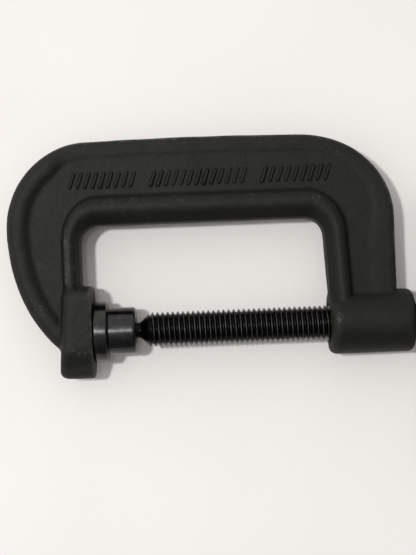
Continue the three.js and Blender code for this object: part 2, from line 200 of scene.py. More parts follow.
def add_piece(name, points, faces, body, replaced, material):
    """A new smooth piece from clamp coordinates, riding on a CAD body in place of CAD nodes."""
    mesh = bpy.data.meshes.new(name)
    mesh.from_pydata(to_row(points).tolist(), [], [list(map(int, face)) for face in faces])
    build = bmesh.new()
    build.from_mesh(mesh)
    bmesh.ops.remove_doubles(build, verts=build.verts, dist=SAME_POINT)
    bmesh.ops.dissolve_degenerate(build, edges=build.edges, dist=SAME_POINT)
    bmesh.ops.recalc_face_normals(build, faces=build.faces)
    build.to_mesh(mesh)
    build.free()
    mesh.polygons.foreach_set("use_smooth", [True] * len(mesh.polygons))
    mesh.materials.append(material)
    piece = bpy.data.objects.new(name, mesh)
    bpy.context.scene.collection.objects.link(piece)
    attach(piece, body)
    if replaced:
        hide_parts(*replaced)
    return piece


def flat_faces_stay_flat(piece):
    """Shades each corner mostly by its largest face, so that flats meet rounded edges cleanly."""
    even = piece.modifiers.new("flat faces", "WEIGHTED_NORMAL")
    even.weight = BY_LARGEST_FACE
    even.keep_sharp = True


def clamp_points(piece):
    """The piece's corner points in clamp coordinates."""
    points = np.zeros(len(piece.data.vertices) * 3)
    piece.data.vertices.foreach_get("co", points)
    return (points.reshape(-1, 3) - np.array(ORIGIN)) / MM


def add_values(piece, name, values):
    """A number for each corner point, which a material reads by name."""
    layer = piece.data.attributes.new(name, "FLOAT", "POINT")
    layer.data.foreach_set("value", np.asarray(values, np.float32))


def smooth_union(a, b, blend):
    """Both shapes, melted together over a blend."""
    share = np.clip(0.5 + 0.5 * (b - a) / blend, 0, 1)
    return b + (a - b) * share - blend * share * (1 - share)


def smooth_overlap(a, b, blend):
    """What two shapes share, its edge rounded over a blend."""
    return -smooth_union(-a, -b, blend)


def smooth_step(value, low, high):
    """From 0 at low to 1 at high, level at both."""
    share = np.clip((value - low) / (high - low), 0, 1)
    return share * share * (3 - 2 * share)


def surface_net(field, low, high, pitch):
    """Quads round the solid where field(x, y, z) < 0, between two corners, on a regular grid."""
    axes = [np.arange(a, b + pitch, pitch) for a, b in zip(low, high)]
    grid = field(*np.meshgrid(*axes, indexing="ij"))
    inside = grid < 0
    shape = [n - 1 for n in grid.shape]
    corners = [(i, j, k) for i in (0, 1) for j in (0, 1) for k in (0, 1)]
    count = sum(
        inside[i : i + shape[0], j : j + shape[1], k : k + shape[2]].astype(np.int8)
        for i, j, k in corners
    )
    cells = np.argwhere((count > 0) & (count < 8))
    number = np.full(shape, -1)
    number[tuple(cells.T)] = np.arange(len(cells))
    value = {c: grid[tuple((cells + c).T)] for c in corners}
    total, hits = np.zeros((len(cells), 3)), np.zeros(len(cells))
    for start in corners:
        for axis in range(3):
            if start[axis]:
                continue
            end = tuple(1 if n == axis else start[n] for n in range(3))
            a, b = value[start], value[end]
            cross = (a < 0) != (b < 0)
            share = np.where(cross, a / np.where(cross, a - b, 1), 0)
            point = np.array(start, float) + np.zeros((len(cells), 3))
            point[:, axis] = share
            total += point * cross[:, None]
            hits += cross
    points = (cells + total / hits[:, None]) * pitch + np.array(low)
    faces = []
    for axis in range(3):
        u, v = (axis + 1) % 3, (axis + 2) % 3
        step = np.eye(3, dtype=int)
        first = [slice(1, -1)] * 3
        first[axis] = slice(0, -1)
        second = list(first)
        second[axis] = slice(1, None)
        turn = inside[tuple(first)] != inside[tuple(second)]
        at = np.argwhere(turn) + [0 if n == axis else 1 for n in range(3)]
        quad = np.stack(
            [number[tuple((at - d).T)] for d in (step[u] + step[v], step[v], 0 * step[u], step[u])],
            axis=1,
        )
        outward = inside[tuple(at.T)]
        faces.append(np.where(outward[:, None], quad, quad[:, ::-1]))
    return points, np.concatenate(faces)


def settle(field, points):
    """Moves points onto the surface of the field along its slope."""
    step = SETTLE_STEP
    for _ in range(SETTLE_ROUNDS):
        x, y, z = points.T
        slope = np.stack(
            [
                field(x + step, y, z) - field(x - step, y, z),
                field(x, y + step, z) - field(x, y - step, z),
                field(x, y, z + step) - field(x, y, z - step),
            ],
            axis=1,
        ) / (2 * step)
        steepness = np.maximum((slope**2).sum(1), LEAST_SLOPE)
        move = np.clip(field(x, y, z) / steepness, -SETTLE_FARTHEST, SETTLE_FARTHEST)
        points = points - slope * move[:, None]
    return points


def bulge(field, points, reach):
    """How far the surface curves away within a reach: above 0 on edges, below 0 in grooves."""
    x, y, z = points.T
    steps = (np.eye(3) * reach).tolist() + (np.eye(3) * -reach).tolist()
    around = sum(field(x + dx, y + dy, z + dz) for dx, dy, dz in steps)
    return (around - len(steps) * field(x, y, z)) / reach


def tube_faces(rows, sides, shift=0):
    """Quads between rows of points. The last side joins the first one, shift rows further on."""
    faces = []
    for row in range(rows - 1):
        for side in range(sides - 1):
            a = row * sides + side
            faces.append((a, a + 1, a + sides + 1, a + sides))
    for row in range(rows - 1 - shift):
        a, b = row * sides + sides - 1, (row + shift) * sides
        faces.append((a, b, b + sides, a + sides))
    return faces


def rings(outline, sides):
    """Rows of points: an outline of (x, radius) turned about the screw's axis."""
    angles = np.arange(sides) / sides * 2 * math.pi
    across, up = np.cos(angles), np.sin(angles)
    rows = [np.stack([np.full(sides, x), r * across, r * up], 1) for x, r in outline]
    return np.concatenate(rows)


def spun(outline, sides):
    """A turned solid. Its outline starts and ends on the axis, where its rows close to a point."""
    points = rings(outline, sides)
    return points, tube_faces(len(outline), sides)


def arc(x, radius, round_, start, end, steps=CORNER_STEPS):
    """A rounded corner of an outline, about (x, radius), between angles in degrees."""
    angles = np.radians(np.linspace(start, end, steps + 1))
    return [(x + round_ * math.cos(a), radius + round_ * math.sin(a)) for a in angles]


def eased(outline, round_):
    """The outline with each real corner cut back and rounded by about round_."""
    done = [outline[0]]
    for before, here, after in zip(outline, outline[1:], outline[2:]):
        middle = Vector(here)
        back, on = Vector(before) - middle, Vector(after) - middle
        if back.angle(on) > EASED_BELOW:
            done.append(here)
            continue
        cut = min(round_, back.length * EASED_SHARE, on.length * EASED_SHARE)
        a, b = middle + back.normalized() * cut, middle + on.normalized() * cut
        for step in range(EASED_STEPS + 1):
            share = step / EASED_STEPS
            point = a * (1 - share) ** 2 + middle * (2 * share * (1 - share)) + b * share**2
            done.append((point.x, max(point.y, 0.0)))
    return done + [outline[-1]]


# ---- The forging as a distance field -------------------------------------------------------------


def ellipse_gap(x, y, ellipse):
    """About the distance outwards from an ellipse, true near its edge."""
    cx, cy, a, b = ellipse
    u, v = (x - cx) / a, (y - cy) / b
    size = np.maximum(np.hypot(u, v), TINY)
    return (size - 1) * size / np.maximum(np.hypot(u / a, v / b), size / max(a, b))


def past_back(x, y):
    """Distance outwards from the C's outer edge, seen along Z."""
    left_x, left_y = UPPER_LEFT[:2]
    right_x, right_y = UPPER_RIGHT[:2]
    crown = CROWN * np.sin(math.pi * np.clip((x - left_x) / right_x, 0, 1))
    upper_left = ellipse_gap(np.minimum(x, left_x), np.maximum(y, left_y), UPPER_LEFT)
    lower_left = ellipse_gap(np.minimum(x, LOWER_LEFT[0]), np.minimum(y, left_y), LOWER_LEFT)
    right = ellipse_gap(np.maximum(x, right_x), np.maximum(y, right_y), UPPER_RIGHT)
    left = np.where(y < left_y, lower_left, upper_left)
    return np.maximum(left, right) - np.where(y > left_y, crown, 0)


def past_throat(x, y):
    """Distance from the throat's edge into the forging, seen along Z."""
    start_of_leg = THROAT_TOP - THROAT_ROUND
    right = THROAT_RIGHT + THROAT_LEAN * np.maximum(start_of_leg - y, 0)
    across = np.maximum(THROAT_LEFT + THROAT_ROUND - x, x - right + THROAT_ROUND)
    up = y - start_of_leg
    outside = np.hypot(np.maximum(across, 0), np.maximum(up, 0))
    return outside + np.minimum(np.maximum(across, up), 0) - THROAT_ROUND


def rounded_edge(a, b, round_):
    """The overlap of two shapes, with the edge where they meet rounded off."""
    a, b = a + round_, b + round_
    return np.hypot(np.maximum(a, 0), np.maximum(b, 0)) + np.minimum(np.maximum(a, b), 0) - round_


def ridge(depth, crest, width, height, z, square, flank):
    """Distance from a rounded ridge, whose crest lies at that depth inside an edge.

    Its width is taken at the web. Its section is a superellipse to the power square, or to the
    power flank on the side of the edge.
    """
    at_web = (1 - (WEB / height) ** square) ** (1 / square)
    inner = (width - crest) / at_web
    across = np.where(depth < crest, (crest - depth) / crest, (depth - crest) / inner)
    square = np.where(depth < crest, flank, square)
    size = (np.abs(across) ** square + np.abs(z / height) ** square) ** (1 / square)
    return (size - 1) * height


def roll_width(x, y):
    """The inner roll's width: it changes round each corner of the throat."""
    up = y - (THROAT_TOP - THROAT_ROUND)
    near_left = x < (THROAT_LEFT + THROAT_RIGHT) / 2
    out = np.where(near_left, THROAT_LEFT + THROAT_ROUND - x, x - THROAT_RIGHT + THROAT_ROUND)
    side = np.where(near_left, ROLL_LEFT, ROLL_RIGHT)
    return side + (ROLL_SPINE - side) * smooth_step(np.arctan2(up, out), 0, math.pi / 2)


def roll_field(x, y, z):
    """The thick roll round the throat."""
    width = roll_width(x, y)
    depth = past_throat(x, y)
    return ridge(depth, ROLL_CREST * width, width, ROLL_HEIGHT, z, ROLL_SQUARE, ROLL_FLANK)


def bead_field(x, y, z):
    """The bead round the outer edge: high at the left, low on the spine, gone on the right leg."""
    low = smooth_step(x + BEAD_FADE_LEAN * (y - UPPER_LEFT[1]), *BEAD_FADE)
    width = BEAD_WIDTH + (RIM_WIDTH - BEAD_WIDTH) * low
    on_leg = smooth_step(y, *RIM_FADE) * low
    height = BEAD_HEIGHT + (RIM_HEIGHT - BEAD_HEIGHT) * low
    height = height + (RIM_LOWEST - RIM_HEIGHT) * on_leg
    square = BEAD_SQUARE + (RIM_SQUARE - BEAD_SQUARE) * low
    return ridge(-past_back(x, y), BEAD_CREST * width, width, height, z, square, square)


def web_field(x, y, z):
    """The flat plate between the beads."""
    edge = np.maximum(past_back(x, y), -past_throat(x, y))
    return rounded_edge(edge, np.abs(z) - WEB, WEB_ROUND)


def anvil_field(x, y, z):
    """The anvil block: drafted, rounded all round, with a flat that slopes to its lower end."""
    high = np.abs(z)
    narrower = ANVIL_DRAFT * high
    slope = ANVIL_FOOT - y + (high - ANVIL_FOOT_HALF) * ANVIL_SLOPE
    block = smooth_overlap(y - ANVIL_HEAD + narrower, ANVIL_FOOT - y, ANVIL_ROUND)
    block = smooth_overlap(block, ANVIL_BACK + ANVIL_LEAN * y - x + narrower, ANVIL_ROUND)
    block = smooth_overlap(block, slope / math.hypot(1, ANVIL_SLOPE), ANVIL_ROUND / 2)
    block = smooth_overlap(block, high - ANVIL_HALF, ANVIL_ROUND)
    return smooth_overlap(block, x, ANVIL_FACE_EDGE)


def boss_field(x, y, z):
    """The round boss for the screw, its ends drafted and rounded."""
    middle, half = (BOSS_START + BOSS_END) / 2, (BOSS_END - BOSS_START) / 2
    ends = np.abs(x - middle) - half + BOSS_DRAFT * np.abs(z)
    return rounded_edge(ends, np.hypot(y, z) - BOSS_RADIUS, BOSS_ROUND)


def hole_field(x, y, z):
    """The space for the screw, flared at both mouths."""
    inside_mouth = np.minimum(np.abs(x - BOSS_START), np.abs(BOSS_END - x))
    radius = HOLE_RADIUS + np.maximum(HOLE_BEVEL - inside_mouth, 0)
    return np.where(x > MIDDLE_X, np.hypot(y, z) - radius, FAR)


def hammered(x, y, z):
    """The slight unevenness of a forging's skin, in shares of its full depth."""
    total = 0
    for turn in range(HAMMER_WAVES):
        angle, tilt = HAMMER_TURN * turn, HAMMER_TILT * turn + 1
        way = np.array([math.cos(angle), math.sin(angle), math.cos(tilt)])
        a, b, c = way * HAMMER_COARSEST * (1 + HAMMER_FINER * turn)
        total = total + np.sin(a * x + b * y + c * z + HAMMER_SHIFT * turn) / (1 + turn)
    return total


def forging_field(x, y, z):
    """The whole forging: plate, roll and bead, then the anvil, the boss and what is cut away."""
    body = smooth_union(roll_field(x, y, z), web_field(x, y, z), ROLL_FILLET)
    body = smooth_union(body, bead_field(x, y, z), BEAD_FILLET)
    edge = np.maximum(past_back(x, y), -past_throat(x, y))
    body = smooth_overlap(body, edge + FLASH_HIGH, EDGE_BLEND)
    # the band left at the parting plane where the flash was trimmed off
    flash = np.maximum(np.abs(edge + FLASH_DEEP) - FLASH_DEEP, np.abs(z) - FLASH_HALF)
    body = smooth_union(body, flash, FLASH_BLEND)
    body = np.maximum(body, np.where(x > MIDDLE_X, LEG_FOOT - y, -FAR))
    body = smooth_union(body, anvil_field(x, y, z), ANVIL_FILLET)
    body = smooth_union(body, boss_field(x, y, z), BOSS_FILLET)
    body = body + HAMMER_DEPTH * hammered(x, y, z)
    past_face = np.where((y < THROAT_TOP / 2) & (x < MIDDLE_X), x, -FAR)
    body = smooth_overlap(body, past_face, EDGE_BLEND)
    return smooth_overlap(body, -hole_field(x, y, z), EDGE_BLEND)


def rub_and_glint_at(places):
    """How much the paint has rubbed at each place, and where glints are painted, from 0 to 1. Only
    the front has patches.
    """
    rub_and_glint = 0
    for x, y, size, strength in RUBBED_AND_GLINTS:
        apart = np.hypot(places[:, 0] - x, places[:, 1] - y) / size
        rub_and_glint = rub_and_glint + strength * np.exp(-(apart**2)) * (places[:, 2] > 0)
    return np.minimum(rub_and_glint, 1)


def make_forging(material):
    """The forging's skin, with how far it bulges at each point, and its rubbed paint and painted
    glints.
    """
    far_left = UPPER_LEFT[0] - UPPER_LEFT[2]
    top = UPPER_RIGHT[1] + UPPER_RIGHT[3] + CROWN
    low = np.array([far_left, ANVIL_FOOT, -BOSS_RADIUS]) - FIELD_MARGIN
    high = np.array([BOSS_END, top, BOSS_RADIUS]) + FIELD_MARGIN
    points, faces = surface_net(forging_field, low, high, FORGING_PITCH)
    points = settle(forging_field, points)
    piece = add_piece(
        "forged_frame", points, faces, "clamp_frame", ["frame"], material
    )
    places = clamp_points(piece)
    add_values(piece, "bulge", bulge(forging_field, places, WEAR_REACH))
    add_values(piece, "rub_and_glint", rub_and_glint_at(places))


# ---- Raised bars on the web, plain strokes with no meaning ---------------------------------------


def bar_outline(x, out):
    """A slanted bar's rounded outline about its centre line, grown by a distance."""
    half = MARK_TALL / 2 - MARK_WIDE / 2
    lean = math.tan(MARK_SLANT) * half
    outline = []
    for step in range(MARK_STEPS):
        angle = (step + 0.5) / MARK_STEPS * 2 * math.pi
        end = 1 if angle < math.pi else -1
        across, along = out * math.cos(angle), out * math.sin(angle)
        outline.append((x + end * lean + across, MARK_Y + end * half + along))
    return outline


def make_marks(material):
    """All the raised bars as one piece: a closed shell for each, its foot sunk in the web."""
    points, faces = [], []
    rows = len(MARK_SECTION)
    for start, end in MARK_GROUPS:
        count = round((end - start) / MARK_PITCH) + 1
        for x in np.linspace(start, end, count):
            first = len(points)
            for out, high in MARK_SECTION:
                points += [(px, py, WEB + high) for px, py in bar_outline(x, out)]
            faces += [tuple(first + n for n in face) for face in tube_faces(rows, MARK_STEPS)]
            faces.append([first + n for n in range(MARK_STEPS)])
            faces.append([first + (rows - 1) * MARK_STEPS + n for n in range(MARK_STEPS)])
    piece = add_piece("raised_bars", points, faces, "clamp_frame", [], material)
    heights = (clamp_points(piece)[:, 2] - WEB) / MARK_HIGH
    parts = [heights > MARK_TOP_FROM, heights < MARK_FOOT_TO]
    # tops a little lighter, partly painted highlight; feet darker as painted shade
    add_values(piece, "bulge", np.select(parts, [MARK_TOP, MARK_FOOT_SHADE], MARK_SIDE))


# ---- The screw -----------------------------------------------------------------------------------


def screw_limit(x):
    """The most that the radius can be: plain neck, 45 degree shoulder, thread, and its run out."""
    shoulder = NECK_RADIUS + np.maximum(x - NECK_END, 0)
    run_out = THREAD_RADIUS - THREAD_DEPTH + np.maximum(THREAD_END - x, 0) * RUN_OUT_SLOPE
    return np.minimum(np.minimum(shoulder, run_out), THREAD_RADIUS)


def thread_helix(start, end):
    """Rows of points: the thread's section wound along the screw and trimmed to its limits."""
    first = SHOULDER_END - HELIX_LEAD * PITCH
    turns = math.ceil((end - first) / PITCH) + HELIX_SPARE
    section = [(turn + share, high) for turn in range(turns) for share, high in THREAD_SECTION]
    shares, heights = np.array(section).T[:, :, None]
    side = np.arange(THREAD_SIDES) / THREAD_SIDES
    along = np.clip(first + (shares + side) * PITCH, start, end)
    radius = THREAD_RADIUS - THREAD_DEPTH + THREAD_DEPTH * heights
    radius = np.minimum(radius, screw_limit(along))
    angle = side * 2 * math.pi
    return np.stack([along, radius * np.cos(angle), radius * np.sin(angle)], -1).reshape(-1, 3)


def make_screw(material):
    """Ball, neck and thread as one skin: rings for the ball, then the thread's helix."""
    start, end = NECK_END - GAP, HUB_START + 2 * GAP
    core = THREAD_RADIUS - THREAD_DEPTH
    neck_turn = 180 - math.degrees(math.asin(NECK_RADIUS / BALL_RADIUS))
    ball = [(2 * BALL_X - x, r) for x, r in arc(BALL_X, 0, BALL_RADIUS, 0, neck_turn, BALL_STEPS)]
    tip = rings([*ball, (start, NECK_RADIUS)], THREAD_SIDES)
    tail = rings([(end, core), (end, 0.0)], THREAD_SIDES)
    points, faces = [], []
    for rows, shift in ((tip, 0), (thread_helix(start, end), len(THREAD_SECTION)), (tail, 0)):
        first = sum(map(len, points))
        new = tube_faces(len(rows) // THREAD_SIDES, THREAD_SIDES, shift)
        faces += [tuple(first + n for n in face) for face in new]
        points.append(rows)
    points = np.concatenate(points)
    piece = add_piece(
        "screw_thread", points, faces, "screw_body", ["screw"], material
    )
    _, y, z = clamp_points(piece).T
    add_values(piece, "crest", (np.hypot(y, z) - core) / THREAD_DEPTH)


def hub_field(x, y, z):
    """The round hub with the cross hole for the bar."""
    middle, half = (HUB_START + HUB_END) / 2, (HUB_END - HUB_START) / 2
    barrel = rounded_edge(np.abs(x - middle) - half, np.hypot(y, z) - HUB_RADIUS, HUB_ROUND)
    hole = np.hypot(x - BAR_X, z) - BAR_RADIUS - GAP
    return smooth_overlap(barrel, -hole, HUB_HOLE_EASE)


def make_hub(material):
    """The hub's skin, with how far it bulges at each point."""
    low = np.array([HUB_START, -HUB_RADIUS, -HUB_RADIUS]) - FIELD_MARGIN
    high = np.array([HUB_END, HUB_RADIUS, HUB_RADIUS]) + FIELD_MARGIN
    points, faces = surface_net(hub_field, low, high, HUB_PITCH)
    points = settle(hub_field, points)
    piece = add_piece("screw_hub", points, faces, "screw_body", ["screw"], material)
    add_values(piece, "bulge", bulge(hub_field, clamp_points(piece), WEAR_REACH))


# ---- Pad, bar and knobs --------------------------------------------------------------------------


def make_pad(material):
    """Wide foot, groove and barrel, with the socket for the ball and the seat for its ring."""
    ring_start, ring_end, ring_radius = RING_SEAT
    outline = [
        (PAD_FACE, 0.0),
        (PAD_FACE, PAD_FOOT_RADIUS),
        (PAD_FOOT_END, PAD_FOOT_RADIUS),
        (PAD_FOOT_END, PAD_GROOVE_RADIUS),
        (PAD_GROOVE_END, PAD_GROOVE_RADIUS),
        (PAD_GROOVE_END, PAD_BARREL_RADIUS),
        (PAD_END - PAD_LIP_LONG, PAD_BARREL_RADIUS),
        (PAD_END, PAD_BARREL_RADIUS - PAD_LIP_DEEP),
        (PAD_END, PAD_MOUTH),
        (ring_end, PAD_MOUTH),
        (ring_end, ring_radius),
        (ring_start, ring_radius),
        (ring_start, PAD_MOUTH),
        *arc(BALL_X, 0, PAD_MOUTH, 90, 180, BALL_STEPS)[:-1],
        (BALL_X - PAD_MOUTH, 0.0),
    ]
    points, faces = spun(eased(outline, PAD_EASE), ROUND_SIDES)
    piece = add_piece(
        "turned_pad", points, faces, "pad_body", ["swivel_pad"], material
    )
    flat_faces_stay_flat(piece)


def on_bar(points, way=1):
    """Turns a piece spun about the screw's axis to lie along the bar, towards +Y or -Y."""
    return points[:, [1, 0, 2]] * [1, way, 1] + [BAR_X, 0, 0]


def make_bar(material):
    """The sliding T-bar, its ends inside the knobs."""
    end = BAR_HALF - (KNOB_LENGTH - KNOB_DEPTH) - GAP
    outline = [(-end, 0.0), (-end, BAR_RADIUS), (end, BAR_RADIUS), (end, 0.0)]
    points, faces = spun(eased(outline, BAR_EASE), ROUND_SIDES)
    piece = add_piece(
        "ground_bar", on_bar(points), faces, "handle", ["handle_bar"], material
    )
    flat_faces_stay_flat(piece)


def make_knob(node, way, material):
    """A rounded end stop with a blind hole for the bar, at the bar's end towards +Y or -Y."""
    start, shoulder = BAR_HALF - KNOB_LENGTH, KNOB_RADIUS - KNOB_ROUND
    hole = BAR_RADIUS + GAP
    outline = [
        (start + KNOB_DEPTH, 0.0),
        (start + KNOB_DEPTH, hole),
        (start, hole),
        *arc(start + KNOB_ROUND, shoulder, KNOB_ROUND, 180, 90),
        *arc(BAR_HALF - KNOB_ROUND, shoulder, KNOB_ROUND, 90, 0),
        (BAR_HALF, 0.0),
    ]
    points, faces = spun(eased(outline, GAP), ROUND_SIDES)
    piece = add_piece(
        "turned_" + node, on_bar(points, way), faces, "handle", [node], material
    )
    flat_faces_stay_flat(piece)


# ---- Materials -----------------------------------------------------------------------------------

# Patterns are (size in millimetres, detail, roughness). Spans are (from, to). Colours are stops of
# (shade from 0 to 1, linear colour), and depths of bumps are in millimetres.

MIDDLE = (0.3, 0.7)  # the range that most of a pattern's values fall in
RUBBED_STEEL_METAL = 0.85  # how metallic the oxide is where some of it has rubbed through

PAINT_GLOSS, PAINT_TINT = 0.19, (1.0, 0.995, 0.96, 1)
PAINT_CLOUD, PAINT_SCALE, PAINT_GRAIN = (22, 3), (2.6, 4), (0.55, 3, 0.6)
PAINT_SPECK, SPECK_STRETCH = (0.8, 4, 0.65), (0.6, 1, 1)
# lighter on convex edges, partly edge wear and partly painted highlight; darker in grooves as
# painted shade; paler specks, rubbed paint and painted glints
PAINT_EDGE_WEAR_AND_HIGHLIGHT, PAINT_GROOVE_SHADE, PAINT_WORN_AND_GLINT = (0.02, 0.75), (-0.15, -0.7), (0.66, 0.86)
WORN_AND_GLINT_PALER, WORN_SMOOTHER = 0.36, 0.2
PAINT_ROUGHNESS = (0.5, 0.66)
PAINT_COLOURS = (
    (0.0, (0.0025, 0.0026, 0.0024)),
    (0.42, (0.0068, 0.0071, 0.0062)),
    (0.66, (0.0125, 0.0127, 0.0108)),
    (1.0, (0.11, 0.108, 0.098)),
)

OXIDE_RING, OXIDE_BLOTCH, OXIDE_GRAIN = (0.16, 2, 0.7), (3.5, 3), (0.3, 2)
OXIDE_ROUGHNESS = (-0.05, 0.07)  # about a finish's own roughness
PAD_ROUGHNESS, BAR_ROUGHNESS = 0.22, 0.28
OXIDE_COLOURS = (
    (0.3, (0.024, 0.024, 0.025)),
    (0.5, (0.045, 0.0445, 0.0445)),
    (0.75, (0.08, 0.079, 0.077)),
)

THREAD_BLOTCH, THREAD_GRAIN = (2.5, 3), (0.25, 2)
THREAD_CREST = (0.94, 1.0)  # share of the thread's depth where its crest has rubbed
THREAD_PATCHY = (0.3, 0.6, 0.6, 1.0)  # how far it has rubbed in each patch
THREAD_ROUGHNESS, RUBBED_ROUGHER = (0.25, 0.35), 0.2
THREAD_COLOURS = (
    (0.1, (0.004, 0.004, 0.0042)),
    (0.4, (0.009, 0.009, 0.0092)),
    (0.95, (0.17, 0.17, 0.167)),
)

HUB_RING, HUB_BLOTCH = (0.15, 2, 0.7), (3.5, 3)
HUB_EDGE, HUB_PATCHY = (0.35, 0.9), (0.4, 0.65)
HUB_SHADES, HUB_ROUGHNESS = (0.2, 0.8), (0.3, 0.44)
HUB_COLOURS = (
    (0.25, (0.024, 0.024, 0.025)),
    (0.5, (0.044, 0.0435, 0.0435)),
    (0.95, (0.2, 0.2, 0.2)),
)

SPRING_DRAWN, SPRING_BLOTCH, SPRING_ROUGHNESS = (0.08, 2, 0.7), (1.2, 3), (0.26, 0.42)
SPRING_COLOURS = ((0.3, (0.2, 0.2, 0.21)), (0.7, (0.42, 0.41, 0.4)))

CLOTH_WEAVE, CLOTH_CLOUD, CLOTH_ROUGHNESS = (0.5, 2), (140, 2), 0.9
CLOTH_COLOURS = ((0.3, (0.78, 0.761, 0.747)), (0.7, (0.84, 0.825, 0.81)))


class Look:
    """A material in the making, with short calls for its nodes."""

    def __init__(self, name, **fixed):
        self.material = bpy.data.materials.new(name)
        self.material.use_nodes = True
        self.tree = self.material.node_tree
        self.shader = self.tree.nodes["Principled BSDF"]
        for socket, value in fixed.items():
            self.shader.inputs[socket.replace("_", " ")].default_value = value

    def add(self, kind, out, sockets, **settings):
        """A node of that kind, its sockets set or linked. Returns its output of that name."""
        node = self.tree.nodes.new("ShaderNode" + kind)
        for name, value in settings.items():
            setattr(node, name, value)
        for name, value in sockets.items():
            if isinstance(value, bpy.types.NodeSocket):
                self.tree.links.new(value, node.inputs[name])
            else:
                node.inputs[name].default_value = value
        return node.outputs[out]

    def drive(self, socket, value):
        """Links a value to one of the shader's sockets."""
        self.tree.links.new(value, self.shader.inputs[socket])

    def place(self, stretch=(1, 1, 1)):
        """Clamp coordinates in millimetres, each stretched by a factor."""
        scale = [n / MM for n in stretch]
        shift = [-o * n for o, n in zip(ORIGIN, scale)]
        at = self.add("TexCoord", "Object", {})
        return self.add("Mapping", "Vector", {"Vector": at, "Location": shift, "Scale": scale})

    def turned(self, axis):
        """Where a point lies along a turning axis, X or Y, and out from it, as a vector."""
        centre = (0, 0, 0) if axis == "X" else (BAR_X, 0, 0)
        local = self.add("VectorMath", 0, {0: self.place(), 1: centre}, operation="SUBTRACT")
        keep = (1, 0, 0) if axis == "X" else (0, 1, 0)
        along = self.add("VectorMath", "Value", {0: local, 1: keep}, operation="DOT_PRODUCT")
        drop = [1 - n for n in keep]
        across = self.add("VectorMath", 0, {0: local, 1: drop}, operation="MULTIPLY")
        out = self.add("VectorMath", "Value", {0: across}, operation="LENGTH")
        return self.add("CombineXYZ", "Vector", {"X": along, "Y": out})

    def noise(self, at, size, detail, roughness=0.55):
        """Noise from 0 to 1 with features of about that many millimetres."""
        return self.add(
            "TexNoise", "Fac",
            {"Vector": at, "Scale": 1 / size, "Detail": detail, "Roughness": roughness},
        )

    def stored(self, name):
        """A number stored on the mesh under that name."""
        return self.add("Attribute", "Fac", {}, attribute_name=name)

    def span(self, value, low, high, to_low=0.0, to_high=1.0):
        """Maps a value from one range to another, held at its ends."""
        ends = {"From Min": low, "From Max": high, "To Min": to_low, "To Max": to_high}
        return self.add("MapRange", "Result", {"Value": value, **ends})

    def math(self, operation, a, b):
        return self.add("Math", "Value", {0: a, 1: b}, operation=operation)

    def total(self, *shares):
        """The sum of (value, share) pairs."""
        scaled = [self.math("MULTIPLY", value, share) for value, share in shares]
        result = scaled[0]
        for value in scaled[1:]:
            result = self.math("ADD", result, value)
        return result

    def colour_by(self, value, stops):
        """Drives the base colour by a value from 0 to 1, blended between stops."""
        colour = self.add("ValToRGB", "Color", {"Fac": value})
        elements = colour.node.color_ramp.elements
        while len(elements) < len(stops):
            elements.new(0.5)  # moved to its stop below
        for element, (position, stop) in zip(elements, stops):
            element.position = position
            element.color = (*stop, 1)
        self.drive("Base Color", colour)

    def bump(self, *layers):
        """Stacks (height, depth in millimetres) layers and drives the shader's normal."""
        normal = None
        for height, depth in layers:
            sockets = {"Height": height, "Distance": depth * MM, "Strength": 1.0}
            if normal is not None:
                sockets["Normal"] = normal
            normal = self.add("Bump", "Normal", sockets)
        self.drive("Normal", normal)


def forging_look():
    """Black paint on a forged skin: fine grain, faint scale, bright specks where it has rubbed and
    painted glints, edges lighter from wear and painted highlight, grooves darker with painted shade.
    """
    look = Look("black_painted_forging", Specular_IOR_Level=PAINT_GLOSS, Specular_Tint=PAINT_TINT)
    at = look.place()
    cloud = look.noise(at, *PAINT_CLOUD)
    scale = look.noise(at, *PAINT_SCALE)
    grain = look.noise(at, *PAINT_GRAIN)
    speck = look.noise(look.place(SPECK_STRETCH), *PAINT_SPECK)
    bulge_ = look.stored("bulge")
    edge = look.span(bulge_, *PAINT_EDGE_WEAR_AND_HIGHLIGHT)
    groove_shade = look.span(bulge_, *PAINT_GROOVE_SHADE)
    rub_and_glint = look.stored("rub_and_glint")
    chance = look.total((speck, 1.0), (rub_and_glint, 0.19), (edge, 0.02), (cloud, 0.1))
    # paler, smoother specks: rubbed paint, and painted glints where the patches are strong
    worn_and_glint = look.span(chance, *PAINT_WORN_AND_GLINT)
    # lighter on edges from wear and painted highlight, darker in grooves from painted shade
    shade = look.total((cloud, 0.3), (scale, 0.3), (grain, 0.25), (edge, 0.3), (groove_shade, -0.3))
    shade = look.math("ADD", shade, look.math("MULTIPLY", worn_and_glint, WORN_AND_GLINT_PALER))
    look.colour_by(shade, PAINT_COLOURS)
    texture = look.total((scale, 0.5), (grain, 0.5))
    rough = look.span(texture, *MIDDLE, *PAINT_ROUGHNESS)
    smoother = look.math("MULTIPLY", worn_and_glint, WORN_SMOOTHER)
    look.drive("Roughness", look.math("SUBTRACT", rough, smoother))
    look.bump((cloud, 0.25), (scale, 0.2), (grain, 0.09))
    return look.material


def oxide_look(name, axis, roughness):
    """Black oxide on turned steel: fine rings from the tool and a thin oily unevenness."""
    look = Look(name, Metallic=1.0)
    at = look.place()
    ring = look.noise(look.turned(axis), *OXIDE_RING)
    blotch = look.noise(at, *OXIDE_BLOTCH)
    grain = look.noise(at, *OXIDE_GRAIN)
    shade = look.total((ring, 0.25), (blotch, 0.5), (grain, 0.25))
    look.colour_by(shade, OXIDE_COLOURS)
    smoothest, roughest = (roughness + change for change in OXIDE_ROUGHNESS)
    look.drive("Roughness", look.span(shade, *MIDDLE, smoothest, roughest))
    look.bump((ring, 0.002), (grain, 0.003))
    return look.material


